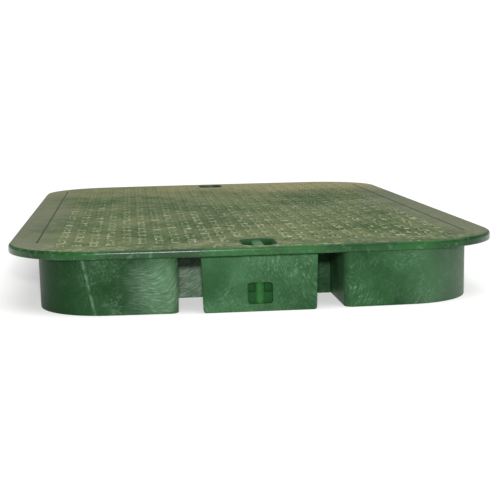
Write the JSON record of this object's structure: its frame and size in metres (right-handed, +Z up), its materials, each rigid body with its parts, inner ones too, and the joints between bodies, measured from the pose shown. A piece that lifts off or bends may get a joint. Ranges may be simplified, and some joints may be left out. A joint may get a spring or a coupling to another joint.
{
  "type": "valve box cover",
  "caption": "Rectangular green moulded cover for an in-ground valve or equipment box, with a treaded deck, a deep skirt, finger recesses and a snap latch at each short end.",
  "frame": {"origin": "centre of the plan, on the plane of the skirt's foot", "axes": "+X across the cover, +Y along its long sides away from the front latch, +Z up through the deck"},
  "size_m": [0.391, 0.6068, 0.0508],
  "materials": {
    "deck_green": "weathered olive green polyethylene, matt, with dust",
    "tread_green": "raised tread, rubbed pale",
    "skirt_green": "green polyethylene with flow marks, satin",
    "latch_green": "green polyethylene with fine scuffs, satin",
    "recess_green": "clean saturated green polyethylene",
    "rib_green": "as moulded green polyethylene"
  },
  "bodies": {
    "cover": {"deck_plate": "deck_green", "tread_field": "tread_green", "left_side_wall": "skirt_green", "right_side_wall": "skirt_green", "front_left_corner_wall": "skirt_green", "front_left_end_wall": "skirt_green", "front_left_bay_return": "skirt_green", "front_left_tie_rib": "rib_green", "front_right_corner_wall": "skirt_green", "front_right_end_wall": "skirt_green", "front_right_bay_return": "skirt_green", "front_right_tie_rib": "rib_green", "front_bay_wall": "skirt_green", "front_lift_cup": "recess_green", "front_lift_bar": "recess_green", "rear_left_corner_wall": "skirt_green", "rear_left_end_wall": "skirt_green", "rear_left_bay_return": "skirt_green", "rear_left_tie_rib": "rib_green", "rear_right_corner_wall": "skirt_green", "rear_right_end_wall": "skirt_green", "rear_right_bay_return": "skirt_green", "rear_right_tie_rib": "rib_green", "rear_bay_wall": "skirt_green", "rear_lift_cup": "recess_green", "rear_lift_bar": "recess_green", "cross_rib_1": "rib_green", "cross_rib_2": "rib_green", "cross_rib_3": "rib_green", "cross_rib_4": "rib_green", "cross_rib_5": "rib_green", "left_long_rib": "rib_green", "centre_long_rib": "rib_green", "right_long_rib": "rib_green"},
    "front_tongue": {"front_latch": "latch_green", "front_catch_rib": "latch_green"},
    "rear_tongue": {"rear_latch": "latch_green", "rear_catch_rib": "latch_green"}
  },
  "joints": [
    {"name": "front_latch_flex", "type": "hinge", "parent": "cover", "child": "front_tongue", "pos_m": [0, -0.3011, 0.0409], "axis": [1, 0, 0], "range_deg": [0, 8], "stiffness_Nm_per_rad": 20},
    {"name": "rear_latch_flex", "type": "hinge", "parent": "cover", "child": "rear_tongue", "pos_m": [0, 0.3011, 0.0409], "axis": [-1, 0, 0], "range_deg": [0, 8], "stiffness_Nm_per_rad": 20}
  ]
}
